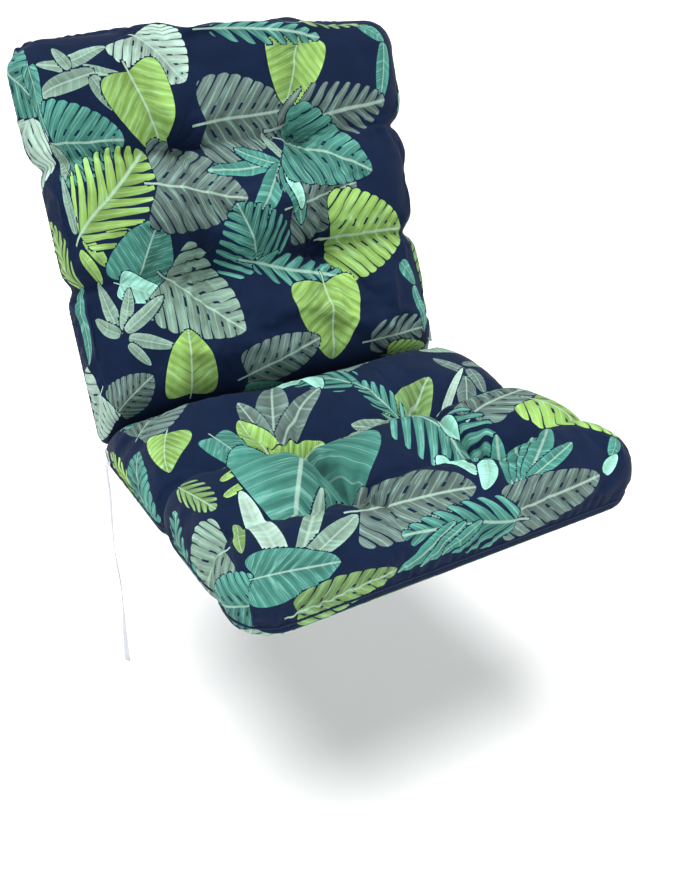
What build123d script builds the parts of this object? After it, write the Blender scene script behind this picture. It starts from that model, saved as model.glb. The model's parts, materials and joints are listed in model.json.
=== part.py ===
"""High-back chair cushion: a seat section and a back section joined along a sewn fold.

Each section is a printed cover round a loose fibre fill. Twine drawn through the fill at two
rows of tufts divides it into three soft bands. The two sections turn about the fold seam.

Units are millimetres. +X is to the right seen from the front, +Y points to the rear and +Z is
up. The origin is the centre of the seat's underside.
"""

import math
import os

from build123d import *

os.makedirs("parts", exist_ok=True)

# ---- Driving dimensions ----------------------------------------------------------------------
WIDTH = 533.0                 # across the seat and the two lower back bands
HEAD_WIDTH = 551.0            # across the head band, which steps out past the band below it
SEAT_LENGTH = 470.0           # fold axis to front edge
BACK_LENGTH = 530.0           # fold axis to top edge
LOFT = 100.0                  # thickness at the crown of a band
CREASE_DEPTH = 28.0           # a crease across the cushion, below the crowns
SEAT_ROWS = (235.0, 378.0)    # tuft rows, as distances from the fold axis
BACK_ROWS = (220.0, 376.0)
TUFT_X = 90.0                 # a tuft stands this far each side of the centre line
TUFT_FLOOR = 50.0             # height of a tuft's floor above the rest face
BACK_ANGLE = 105.0            # between the seat and the back, as the cushion sits in a chair

COVER = 1.2                   # thickness of the covers as drawn
FILL_GAP = 0.5                # clearance between a cover and its fill
SEAM_HEIGHT = 16.0            # edge seam above the rest face
ALLOWANCE_WIDTH = 9.0         # seam allowance turned in behind the edge seam
ALLOWANCE = 1.0
NOSE = 52.0                   # rounding of the front edge and of the top edge
SIDE_TOP_RADIUS = 40.0
SIDE_LOW_RADIUS = 10.0
FAR_CORNER = 46.0             # plan corners at the front edge and at the top edge
FOLD_CORNER = 16.0            # plan corners beside the fold
HEAD_SAG = 5.0                # the last band, below its crown, halfway to the nose
LEAST_RADIUS = 0.5            # smallest rounding of an inner surface

FOLD_HEIGHT = 18.0            # fold axis above the rest face of each section
FOLD_END = 8.0                # each section stops this far short of the fold axis
BEVEL_ANGLE = 48.0            # slope of each section beside the fold, from the fold axis
BEVEL_RUN = 54.0
FIRST_BAND_SAG = 7.0          # the long first band, below its crown, two thirds along
BEAD_RADIUS = 3.0             # rolled cloth in the fold seam
WEB = 2.4                     # two covers sewn together beside the bead
WEB_CLEARANCE = 0.4
WEB_INSET = 24.0              # the fold seam stops this far inside each side

TWINE_RADIUS = 1.0
TWINE_HOLE = 1.3
FILL_HOLE = 2.0
KNOT_RADIUS = 3.2
KNOT_HEIGHT = 3.0
PINCH_RADIUS = 2.4            # twine loop that holds a tuft's floor down
DIMPLE_DEPTH = 6.0            # hollow in the rest face that hides a knot
DIMPLE_RADIUS = 14.0
TUFT_RADIUS = 48.0            # mouth of a tuft's hollow
MOUTH_RISE = 1.0              # hollows are cut this far past the surface they open in
KNOT_SPACE = 1.2              # round a knot, at the top of its dimple
KNOT_GAP = 0.4                # between a knot and the top of its dimple
TWINE_REST = 1.5              # twine above a tuft's floor
PINCH_LIFT = 1.0              # pinching loop above a tuft's floor
RING_GAP = 0.15               # between the seam allowance and the covers

TAPE_WIDTH = 10.0
TAPE = 1.4
ANCHOR_HEIGHT = 24.0
ANCHOR_LOW = 14.0
ANCHOR_OVERLAP = 1.0          # an anchor is wider than its tape by this much each side
TIE_FROM_FOLD = 34.0
# Tie tape from its anchor downwards: offsets from the side face and from the anchor's foot.
TIE_ROUTE = ((-0.7, 0.0), (-0.7, -38.0), (-5.5, -84.0), (-8.5, -132.0), (-7.0, -181.0),
             (-9.5, -229.0), (-14.5, -275.0), (-16.0, -318.0))

LABEL_WIDTH = 26.0
LABEL_HEIGHT = 38.0
LABEL = 0.6
LABEL_FROM_FOLD = 62.0
CLOSING_COUNT = 24            # whip stitches that close the filling slot
CLOSING_PITCH = 8.0
CLOSING_MIDDLE = 190.0        # middle of the closed slot, from the fold axis
CLOSING_WIDTH = 1.2
CLOSING_LENGTH = 7.0
CLOSING_SLANT = 35.0
CLOSING = 0.8

REACH = 1400.0                # longer than any part of the cushion

# ---- Frames of the two sections --------------------------------------------------------------
fold_axis = Vector(0, SEAT_LENGTH / 2, FOLD_HEIGHT)
lean = math.radians(180.0 - BACK_ANGLE)
floor_height = LOFT - CREASE_DEPTH
bevel = math.radians(BEVEL_ANGLE)
bevel_slope = math.tan(bevel)
bevel_top = FOLD_HEIGHT + BEVEL_RUN * bevel_slope
first_crown = BEVEL_RUN + (LOFT - bevel_top) / math.tan(bevel / 2)


def section_frame(along, up):
    """Planes of one section: its side profile, its end outline and its plan outline."""
    origin = fold_axis - up * FOLD_HEIGHT
    return {
        "side": Plane(origin, x_dir=along, z_dir=along.cross(up)),
        "end": Plane(origin, x_dir=up.cross(along), z_dir=along),
        "plan": Plane(origin, x_dir=along.cross(up), z_dir=up),
    }


seat_frame = section_frame(Vector(0, -1, 0), Vector(0, 0, 1))
back_frame = section_frame(
    Vector(0, math.cos(lean), math.sin(lean)),
    Vector(0, -math.sin(lean), math.cos(lean)),
)


# ---- Shapes that both sections share ---------------------------------------------------------
def posts(frame, rows, low, high, radius):
    """Round posts at the tufts, between two heights above the rest face."""
    with BuildPart() as block:
        with BuildSketch(frame["plan"].offset(low)):
            for row in rows:
                with Locations((-TUFT_X, row), (TUFT_X, row)):
                    Circle(radius)
        extrude(amount=high - low)
    return block.part


def slab(frame, low, high):
    """Everything between two heights above the rest face."""
    with BuildPart() as block:
        with BuildSketch(frame["plan"].offset(low)):
            Rectangle(REACH, 2 * REACH)
        extrude(amount=high - low)
    return block.part


def cone(frame, x, row, low, low_radius, high, high_radius):
    """A straight-sided cone between two heights above the rest face."""
    with BuildPart() as block:
        with BuildSketch(frame["plan"].offset(low)):
            with Locations((x, row)):
                Circle(low_radius)
        with BuildSketch(frame["plan"].offset(high)):
            with Locations((x, row)):
                Circle(high_radius)
        loft()
    return block.part


def section_body(frame, length, rows, far_width, inset):
    """A cushion section before its tufts, its whole surface moved inward by inset."""
    near, far = rows
    crest = length - NOSE
    low = LOFT - NOSE
    half, far_half = WIDTH / 2 - inset, far_width / 2 - inset
    step = far + inset * math.tan(math.radians(22.5))
    right = [(half, FOLD_END + inset), (far_half, length - inset)]
    if far_half > half:
        right[1:1] = [(half, step), (far_half, step + far_half - half)]
    left = [(-x, y) for x, y in reversed(right)]
    with BuildPart() as block:
        with BuildSketch(frame["side"]):
            with BuildLine():
                Polyline(
                    (SIDE_LOW_RADIUS + FOLD_END, 0),
                    (FOLD_END, SIDE_LOW_RADIUS),
                    (FOLD_END, FOLD_HEIGHT + FOLD_END * bevel_slope),
                    (BEVEL_RUN, bevel_top),
                )
                TangentArc(
                    (BEVEL_RUN, bevel_top), (first_crown, LOFT), tangent=(1, bevel_slope)
                )
                ThreePointArc(
                    (first_crown, LOFT),
                    ((first_crown + 2 * near) / 3, LOFT - FIRST_BAND_SAG),
                    (near, floor_height),
                )
                ThreePointArc(
                    (near, floor_height), ((near + far) / 2, LOFT), (far, floor_height)
                )
                ThreePointArc(
                    (far, floor_height), ((far + crest) / 2, LOFT - HEAD_SAG), (crest, LOFT)
                )
                CenterArc((crest, low), NOSE, 0, 90)
                CenterArc((length - low, low), low, 270, 90)
                Line((length - low, 0), (SIDE_LOW_RADIUS + FOLD_END, 0))
            make_face()
            if inset:
                offset(amount=-inset)
        extrude(amount=REACH / 2, both=True)
        with BuildSketch(frame["end"]) as end:
            with Locations((0, LOFT / 2)):
                Rectangle(2 * far_half, LOFT - 2 * inset)
            fillet(end.vertices().group_by(Axis.Y)[-1], SIDE_TOP_RADIUS - inset)
            fillet(end.vertices().group_by(Axis.Y)[0], max(SIDE_LOW_RADIUS - inset, LEAST_RADIUS))
        extrude(amount=REACH, mode=Mode.INTERSECT)
        with BuildSketch(frame["plan"]) as plan:
            with BuildLine():
                Polyline(*right, *left, close=True)
            make_face()
            fillet(plan.vertices().group_by(Axis.Y)[-1], FAR_CORNER - inset)
            fillet(plan.vertices().group_by(Axis.Y)[0], FOLD_CORNER - inset)
        extrude(amount=REACH, mode=Mode.INTERSECT)
    return block.part


def section(frame, length, rows, far_width, inset):
    """A cushion section with its tufts, its whole surface moved inward by inset."""
    body = section_body(frame, length, rows, far_width, inset)
    for row in rows:
        for x in (-TUFT_X, TUFT_X):
            body -= cone(frame, x, row, TUFT_FLOOR - inset, PINCH_RADIUS,
                         LOFT + MOUTH_RISE - inset, TUFT_RADIUS)
            body -= cone(frame, x, row, inset - MOUTH_RISE, DIMPLE_RADIUS,
                         DIMPLE_DEPTH + inset, KNOT_RADIUS + KNOT_SPACE)
    return body


def layers(frame, length, rows, far_width):
    """The nested surfaces of a section, from its outside to the core inside its allowance."""
    def tufted(inset):
        return section(frame, length, rows, far_width, inset)

    def plain(inset):
        return section_body(frame, length, rows, far_width, inset)

    return {
        "outer": tufted(0.0),
        "cavity": tufted(COVER),
        "fill": tufted(COVER + FILL_GAP),
        "ring_outer": plain(COVER + RING_GAP),
        "ring_inner": plain(COVER + ALLOWANCE_WIDTH),
        "core": plain(COVER + ALLOWANCE_WIDTH + FILL_GAP),
    }


seat = layers(seat_frame, SEAT_LENGTH, SEAT_ROWS, WIDTH)
back = layers(back_frame, BACK_LENGTH, BACK_ROWS, HEAD_WIDTH)

# ---- Covers, seam allowances and fills -------------------------------------------------------
above_seam = (SEAM_HEIGHT, REACH)
below_seam = (-REACH, SEAM_HEIGHT)
allowance_heights = (SEAM_HEIGHT, SEAM_HEIGHT + ALLOWANCE)
groove_heights = (SEAM_HEIGHT - FILL_GAP, SEAM_HEIGHT + ALLOWANCE + FILL_GAP)


def cover(frame, rows, surfaces, heights):
    """The part of a section's cloth between two heights, pierced for the twine."""
    with BuildPart() as cloth:
        add(surfaces["outer"])
        add(surfaces["cavity"], mode=Mode.SUBTRACT)
        add(slab(frame, *heights), mode=Mode.INTERSECT)
        add(posts(frame, rows, 0, LOFT, TWINE_HOLE), mode=Mode.SUBTRACT)
    return cloth.part


def seam_allowance(frame, surfaces):
    """Cloth turned in just behind the edge seam."""
    with BuildPart() as turned:
        add(surfaces["ring_outer"])
        add(surfaces["ring_inner"], mode=Mode.SUBTRACT)
        add(slab(frame, *allowance_heights), mode=Mode.INTERSECT)
    return turned.part


def fill(frame, rows, surfaces):
    """Fibre fill, grooved round its edge for the allowance and pierced for the twine."""
    groove = slab(frame, *groove_heights) - surfaces["core"]
    with BuildPart() as fibre:
        add(surfaces["fill"])
        add(groove, mode=Mode.SUBTRACT)
        add(posts(frame, rows, 0, LOFT, FILL_HOLE), mode=Mode.SUBTRACT)
    return fibre.part


with BuildPart() as seat_top_cover:
    add(cover(seat_frame, SEAT_ROWS, seat, above_seam))

with BuildPart() as seat_underside_cover:
    add(cover(seat_frame, SEAT_ROWS, seat, below_seam))

with BuildPart() as back_front_cover:
    add(cover(back_frame, BACK_ROWS, back, above_seam))

with BuildPart() as back_rear_cover:
    add(cover(back_frame, BACK_ROWS, back, below_seam))

with BuildPart() as seat_seam_allowance:
    add(seam_allowance(seat_frame, seat))

with BuildPart() as back_seam_allowance:
    add(seam_allowance(back_frame, back))

with BuildPart() as seat_fill:
    add(fill(seat_frame, SEAT_ROWS, seat))

with BuildPart() as back_fill:
    add(fill(back_frame, BACK_ROWS, back))

# ---- Tufts: twine posts with a pinching loop above, tied off in the dimples below ------------
knot_top = DIMPLE_DEPTH - KNOT_GAP
knot_heights = (knot_top - KNOT_HEIGHT, knot_top)
twine_heights = (knot_top, TUFT_FLOOR + TWINE_REST)
pinch_height = TUFT_FLOOR + PINCH_LIFT
pinch_heights = (pinch_height, pinch_height + 2 * PINCH_RADIUS)

with BuildPart() as seat_tuft_threads:
    add(posts(seat_frame, SEAT_ROWS, *twine_heights, TWINE_RADIUS))
    add(posts(seat_frame, SEAT_ROWS, *pinch_heights, PINCH_RADIUS))

with BuildPart() as seat_tuft_knots:
    add(posts(seat_frame, SEAT_ROWS, *knot_heights, KNOT_RADIUS))

with BuildPart() as back_tuft_threads:
    add(posts(back_frame, BACK_ROWS, *twine_heights, TWINE_RADIUS))
    add(posts(back_frame, BACK_ROWS, *pinch_heights, PINCH_RADIUS))

with BuildPart() as back_tuft_knots:
    add(posts(back_frame, BACK_ROWS, *knot_heights, KNOT_RADIUS))

# ---- Fold seam ---------------------------------------------------------------------------------
web_length = WIDTH - 2 * WEB_INSET

with BuildPart() as fold_seam:
    with BuildSketch(seat_frame["side"]):
        with Locations((0, FOLD_HEIGHT)):
            Circle(BEAD_RADIUS)
        with Locations((FOLD_END / 2, FOLD_HEIGHT)):
            Rectangle(FOLD_END, WEB)
    extrude(amount=web_length / 2, both=True)

web_start = BEAD_RADIUS + WEB_CLEARANCE
with BuildPart() as back_fold_web:
    with BuildSketch(back_frame["side"]):
        with Locations(((web_start + FOLD_END) / 2, FOLD_HEIGHT)):
            Rectangle(FOLD_END - web_start, WEB)
    extrude(amount=web_length / 2, both=True)

# ---- Ties --------------------------------------------------------------------------------------
tie_y = fold_axis.Y - TIE_FROM_FOLD
anchor_x = (WIDTH + TAPE) / 2
with BuildPart() as tie_anchor_left:
    with BuildSketch(Plane.XY.offset(ANCHOR_LOW)):
        with Locations((-anchor_x, tie_y)):
            Rectangle(TAPE, TAPE_WIDTH + 2 * ANCHOR_OVERLAP)
    extrude(amount=ANCHOR_HEIGHT)

with BuildPart() as tie_anchor_right:
    add(mirror(tie_anchor_left.part, about=Plane.YZ))

route = [(x - WIDTH / 2, ANCHOR_LOW + z) for x, z in TIE_ROUTE]


def bend_radii(points):
    """Arc radius at each inner point: 0.45 of the shorter run over the tangent of half the turn."""
    found = []
    for before, here, after in zip(points, points[1:], points[2:]):
        run_in = Vector(*here) - Vector(*before)
        run_out = Vector(*after) - Vector(*here)
        half_turn = math.radians(run_in.get_angle(run_out) / 2)
        found.append(0.45 * min(run_in.length, run_out.length) / math.tan(half_turn))
    return found


tie_radii = bend_radii(route)
tie_plane = Plane((0, tie_y, 0), x_dir=(1, 0, 0), z_dir=(0, -1, 0))
with BuildPart() as tie_tape_left:
    with BuildLine(tie_plane) as tie_path:
        FilletPolyline(*route, radius=tie_radii)
    tie_wire = tie_path.wires()[0]
    with BuildSketch(Plane(tie_wire @ 0, x_dir=(0, 1, 0), z_dir=tie_wire % 0)):
        Rectangle(TAPE_WIDTH, TAPE)
    sweep(path=tie_wire)

tie_length = tie_wire.length
print("tie bend radii", [round(radius) for radius in tie_radii])
print("tie length", round(tie_length, 1))
print("tie volume over section times length",
      round(tie_tape_left.part.volume / (TAPE_WIDTH * TAPE * tie_length), 4))

# ---- Closing stitches and label on the right side of the back --------------------------------
right_side = back_frame["side"].offset(WIDTH / 2)

with BuildPart() as closing_stitches:
    with BuildSketch(right_side):
        with Locations((CLOSING_MIDDLE, SEAM_HEIGHT)):
            with GridLocations(CLOSING_PITCH, 1, CLOSING_COUNT, 1):
                Rectangle(CLOSING_WIDTH, CLOSING_LENGTH, rotation=CLOSING_SLANT)
    extrude(amount=CLOSING)

with BuildPart() as care_label:
    with BuildSketch(right_side):
        with Locations((LABEL_FROM_FOLD, SEAM_HEIGHT + LABEL_HEIGHT / 2)):
            Rectangle(LABEL_WIDTH, LABEL_HEIGHT)
    extrude(amount=LABEL)

# ---- Write every piece -------------------------------------------------------------------------
pieces = {
    "seat_top_cover": seat_top_cover,
    "seat_underside_cover": seat_underside_cover,
    "seat_fill": seat_fill,
    "seat_seam_allowance": seat_seam_allowance,
    "seat_tuft_threads": seat_tuft_threads,
    "seat_tuft_knots": seat_tuft_knots,
    "fold_seam": fold_seam,
    "tie_anchor_left": tie_anchor_left,
    "tie_anchor_right": tie_anchor_right,
    "tie_tape_left": tie_tape_left,
    "back_front_cover": back_front_cover,
    "back_rear_cover": back_rear_cover,
    "back_fill": back_fill,
    "back_seam_allowance": back_seam_allowance,
    "back_tuft_threads": back_tuft_threads,
    "back_tuft_knots": back_tuft_knots,
    "back_fold_web": back_fold_web,
    "closing_stitches": closing_stitches,
    "care_label": care_label,
}
for name, piece in pieces.items():
    piece.part.label = name
    export_step(piece.part, f"parts/{name}.step")
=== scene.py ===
"""Tufted high-back chair cushion: soft sections, printed cloth, twine tufts and a tie tape."""

import json
import math

import bpy
import numpy as np
from bpy.props import FloatProperty, FloatVectorProperty, IntProperty, PointerProperty
from mathutils import Matrix, Vector
from mathutils.bvhtree import BVHTree


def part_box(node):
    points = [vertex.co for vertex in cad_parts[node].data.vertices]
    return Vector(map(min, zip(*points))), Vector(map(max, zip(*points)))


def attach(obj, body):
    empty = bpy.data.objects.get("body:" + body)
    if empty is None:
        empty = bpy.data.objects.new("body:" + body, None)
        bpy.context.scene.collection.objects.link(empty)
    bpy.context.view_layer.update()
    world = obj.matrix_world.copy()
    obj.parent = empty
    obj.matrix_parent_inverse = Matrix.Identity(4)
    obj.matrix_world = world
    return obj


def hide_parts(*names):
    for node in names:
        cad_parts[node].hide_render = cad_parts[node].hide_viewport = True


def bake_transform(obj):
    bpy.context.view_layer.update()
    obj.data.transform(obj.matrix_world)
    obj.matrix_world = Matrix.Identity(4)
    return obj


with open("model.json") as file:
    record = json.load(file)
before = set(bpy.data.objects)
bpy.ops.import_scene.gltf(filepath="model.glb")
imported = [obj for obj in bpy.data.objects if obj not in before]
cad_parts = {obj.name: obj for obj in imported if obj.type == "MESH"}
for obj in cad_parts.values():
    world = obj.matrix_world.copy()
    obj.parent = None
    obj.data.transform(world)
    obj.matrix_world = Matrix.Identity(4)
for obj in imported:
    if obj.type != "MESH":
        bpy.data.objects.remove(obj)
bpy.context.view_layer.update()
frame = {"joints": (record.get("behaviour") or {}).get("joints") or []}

bl_info = {
    "name": "Tufted Chair Cushion",
    "version": (1, 0, 0),
    "blender": (4, 5, 0),
    "location": "3D View > Sidebar > Cushion",
    "description": "Builds a tufted high-back chair cushion with a leaf print",
    "category": "Object",
}

MM = 0.001

# ---- Places of the two sections --------------------------------------------------------------
FOLD = frame["joints"][0]["pos_m"]
FOLD_HEIGHT = FOLD[2]
LEAN = math.radians(75.0)
SEAT_FRAME = (
    np.array([0.0, FOLD[1], 0.0]),
    np.array([0.0, -1.0, 0.0]),
    np.array([0.0, 0.0, 1.0]),
)
BACK_ALONG = np.array([0.0, math.cos(LEAN), math.sin(LEAN)])
BACK_UP = np.array([0.0, -math.sin(LEAN), math.cos(LEAN)])
BACK_FRAME = (np.array(FOLD) - BACK_UP * FOLD_HEIGHT, BACK_ALONG, BACK_UP)
ACROSS = np.array([1.0, 0.0, 0.0])

# A section is described by x across it, s away from the fold and t above its rest face.
# "crease" is the depth of each row's crease as a share of the crease depth setting. Each pleat
# has its two ends in x and s, its depth and its width. "head" widens the part past the last row.
SEAT = {
    "frame": SEAT_FRAME,
    "length": 0.470,
    "rows": (0.235, 0.378),
    "crease": (0.72, 0.40),
    "head": 0.0,
    "pleats": (
        (-0.090, 0.238, -0.090, 0.375, 0.036, 0.0075),
        (0.090, 0.238, 0.090, 0.375, 0.036, 0.0075),
        (-0.090, 0.384, -0.080, 0.430, 0.018, 0.007),
        (0.090, 0.384, 0.086, 0.428, 0.016, 0.007),
        (-0.092, 0.230, -0.122, 0.172, 0.012, 0.007),
        (0.092, 0.230, 0.130, 0.185, 0.012, 0.007),
        (-0.084, 0.230, -0.055, 0.184, 0.008, 0.007),
        (0.084, 0.230, 0.050, 0.192, 0.008, 0.007),
        (-0.098, 0.378, -0.165, 0.389, 0.010, 0.008),
        (0.098, 0.378, 0.165, 0.386, 0.010, 0.008),
        (-0.098, 0.236, -0.170, 0.246, 0.009, 0.008),
        (0.098, 0.236, 0.170, 0.242, 0.009, 0.008),
    ),
    "seed": 3,
}
BACK = {
    "frame": BACK_FRAME,
    "length": 0.530,
    "rows": (0.220, 0.376),
    "crease": (1.0, 0.9),
    "head": 0.009,
    "pleats": (
        (-0.090, 0.214, -0.104, 0.120, 0.010, 0.009),
        (-0.082, 0.214, -0.050, 0.160, 0.007, 0.009),
        (0.094, 0.214, 0.165, 0.130, 0.008, 0.008),
        (0.086, 0.214, 0.120, 0.120, 0.006, 0.008),
        (0.092, 0.226, 0.104, 0.300, 0.007, 0.010),
        (-0.092, 0.226, -0.108, 0.290, 0.007, 0.010),
        (-0.090, 0.370, -0.076, 0.312, 0.007, 0.010),
        (0.090, 0.370, 0.074, 0.318, 0.006, 0.010),
        (-0.090, 0.382, -0.120, 0.440, 0.007, 0.009),
        (0.090, 0.382, 0.108, 0.436, 0.006, 0.009),
    ),
    "seed": 8,
}
BEVEL_ANGLE = math.radians(47.5)  # leaves room for the sections to turn forward
SEAM_HEIGHT = 0.016  # of the edge seam, above the rest face
SEAM_PITCH = 0.017  # of the gathers beside the edge seam
# Control points of the tie tape in millimetres: x from the seat's left side, z from its anchor.
CORD_POINTS = (
    (-0.7, 0.0), (-0.7, -38.0), (-5.5, -84.0), (-8.5, -132.0),
    (-7.0, -181.0), (-9.5, -229.0), (-14.5, -275.0), (-16.0, -318.0),
)

# How far the fill leaves the cloth where it is: reach and fade from each place that holds it.
HELD = {
    "rest face": (0.030, 0.010),
    "fold": (0.085, 0.020),
    "tuft": (0.022, 0.008),
    "crease": (0.008, 0.005),
    "pleat": (0.007, 0.004),
}
FULLY_HELD_PLEAT = 0.02  # a pleat at least this deep stays wholly in place

# Radii of the section's rounded edges, before the fill swells it.
CORNER_RADIUS = 0.046
FOLD_CORNER_RADIUS = 0.016
BEVEL_RADIUS = 0.030
REST_EDGE_RADIUS = 0.010
CLOTH_INSET = 0.003  # the outline before the fill swells it, inside the finished one
BELLY = 0.005  # how far the sides draw in towards the top and the rest face
FOLD_GAP = 0.009  # from the fold to the end of the section
DIMPLE = (0.006, 0.012)  # depth and reach of a tuft in the rest face
TUFT_REACH = 0.023  # how quickly the crown rises away from a tuft
EDGE_FALL = 0.010  # how much lower the crown is at the sides
WAVES, WAVE_HEIGHT = 7, 0.0011  # long low waves of loose fill

# Closing stitches and label on the back section's right side.
STITCHES, STITCH_PITCH, CLOSING_PLACE = 24, 0.008, 0.190
LABEL_PLACE, LABEL_WIDTH, LABEL_HEIGHT, LABEL_HALF_THICKNESS = 0.062, 0.026, 0.038, 0.0003
TAPE_TWIST = math.radians(38.0)  # how far the hanging tape turns about its own line

# The stage. The floor is flat in the middle and rises further out, by radius and height.
FLOOR_RINGS = ((10.0, 0.0), (14.0, 0.3), (20.0, 1.5), (60.0, 14.0), (150.0, 72.0))
FLOOR_SIDES = 64
SKY_COLOUR, SKY_STRENGTH = (0.95, 0.97, 1.0, 1.0), 0.42
# Each light: name, where it comes from, share of the key strength, angular size in degrees.
LIGHTS = (
    ("key_light", (-0.28, -0.28, 1.38), 1.0, 34.0),
    ("fill_light", (1.20, -0.90, 0.80), 0.16, 60.0),
)
CAMERA_ANGLES = (-28.7, 26.6, -2.3)  # azimuth, elevation and roll in degrees
CAMERA_TARGET = (-0.043, -0.016, 0.075)
CAMERA_DISTANCE, SENSOR_WIDTH = 1.102, 36.0

# ---- Leaf print ------------------------------------------------------------------------------
# Each kind: side ribs, share of the rib gap cut away, where the cut starts, rib slant, skew.
KINDS = {
    "monstera": (6.0, 0.20, 0.30, 0.85, 0.50),
    "oval": (7.0, 0.0, 0.9, 0.75, 0.50),
    "fern": (6.0, 0.62, 0.03, 1.15, 0.80),
    "strap": (0.0, 0.0, 0.9, 0.5, 0.85),
}
# How far a leaf's two halves reach back past its stalk, as a share of their width.
LOBE = 0.28
# Each leaf: kind, colour, base x and s, tip x and s in millimetres, half width over length.
BACK_LEAVES = (
    ("strap", "sage", -142, 458, -262, 490, 0.07),
    ("strap", "sage", -185, 470, -265, 450, 0.14),
    ("strap", "sage", -222, 480, -162, 506, 0.14),
    ("strap", "sage", -190, 465, -165, 422, 0.20),
    ("strap", "sage", -214, 476, -232, 508, 0.20),
    ("monstera", "pale", -122, 525, -72, 448, 0.56),
    ("oval", "teal", -284, 490, -270, 405, 0.24),
    ("monstera", "teal", -262, 395, -160, 390, 0.50),
    ("oval", "lime", -142, 468, -108, 372, 0.42),
    ("monstera", "grey", -50, 398, 75, 404, 0.45),
    ("oval", "lime", 96, 494, 68, 408, 0.52),
    ("fern", "teal", -25, 515, 132, 495, 0.13),
    ("fern", "green", 100, 526, 222, 526, 0.12),
    ("strap", "teal", 206, 520, 242, 486, 0.28),
    ("strap", "teal", 240, 484, 220, 404, 0.16),
    ("fern", "grey", 60, 386, 230, 406, 0.24),
    ("strap", "lime", -244, 288, -176, 278, 0.12),
    ("strap", "lime", -244, 282, -214, 240, 0.16),
    ("strap", "lime", -258, 266, -224, 222, 0.16),
    ("fern", "lime", -248, 286, -136, 376, 0.38),
    ("oval", "teal", -178, 218, -142, 290, 0.56),
    ("oval", "mint", -202, 218, -148, 192, 0.30),
    ("monstera", "grey", -134, 332, -18, 300, 0.50),
    ("strap", "teal", 48, 340, -62, 342, 0.09),
    ("strap", "teal", 42, 338, -14, 366, 0.15),
    ("strap", "teal", 40, 338, -24, 252, 0.14),
    ("strap", "sage", 55, 342, 32, 382, 0.12),
    ("monstera", "grey", 46, 280, 154, 298, 0.50),
    ("strap", "teal", 42, 335, 62, 254, 0.14),
    ("strap", "mint", 48, 338, 60, 274, 0.12),
    ("monstera", "teal", 66, 368, 184, 314, 0.42),
    ("fern", "teal", -4, 212, -34, 296, 0.62),
    ("monstera", "lime", 112, 230, 236, 226, 0.52),
    ("oval", "sage", -248, 362, -278, 394, 0.34),
    ("strap", "sage", -256, 288, -264, 358, 0.13),
    ("monstera", "sage", -138, 214, -56, 130, 0.52),
    ("fern", "teal", -14, 216, 128, 168, 0.15),
    ("strap", "sage", -220, 158, -232, 226, 0.15),
    ("strap", "sage", -220, 158, -258, 180, 0.22),
    ("strap", "sage", -214, 162, -192, 212, 0.15),
    ("strap", "sage", -212, 160, -152, 194, 0.13),
    ("strap", "sage", -210, 152, -152, 126, 0.15),
    ("strap", "sage", -212, 144, -190, 110, 0.16),
    ("oval", "lime", -142, 62, -132, 148, 0.42),
    ("oval", "lime", 80, 172, 76, 62, 0.48),
    ("monstera", "grey", -58, 68, 56, 96, 0.32),
    ("fern", "grey", 140, 76, 250, 78, 0.26),
    ("monstera", "lime", 174, 36, 264, 30, 0.36),
    ("strap", "teal", 216, 180, 240, 144, 0.28),
    ("strap", "teal", 234, 142, 243, 72, 0.16),
    ("monstera", "grey", -250, 60, -190, 96, 0.50),
    ("oval", "teal", -60, 30, 0, 20, 0.40),
)
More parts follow.
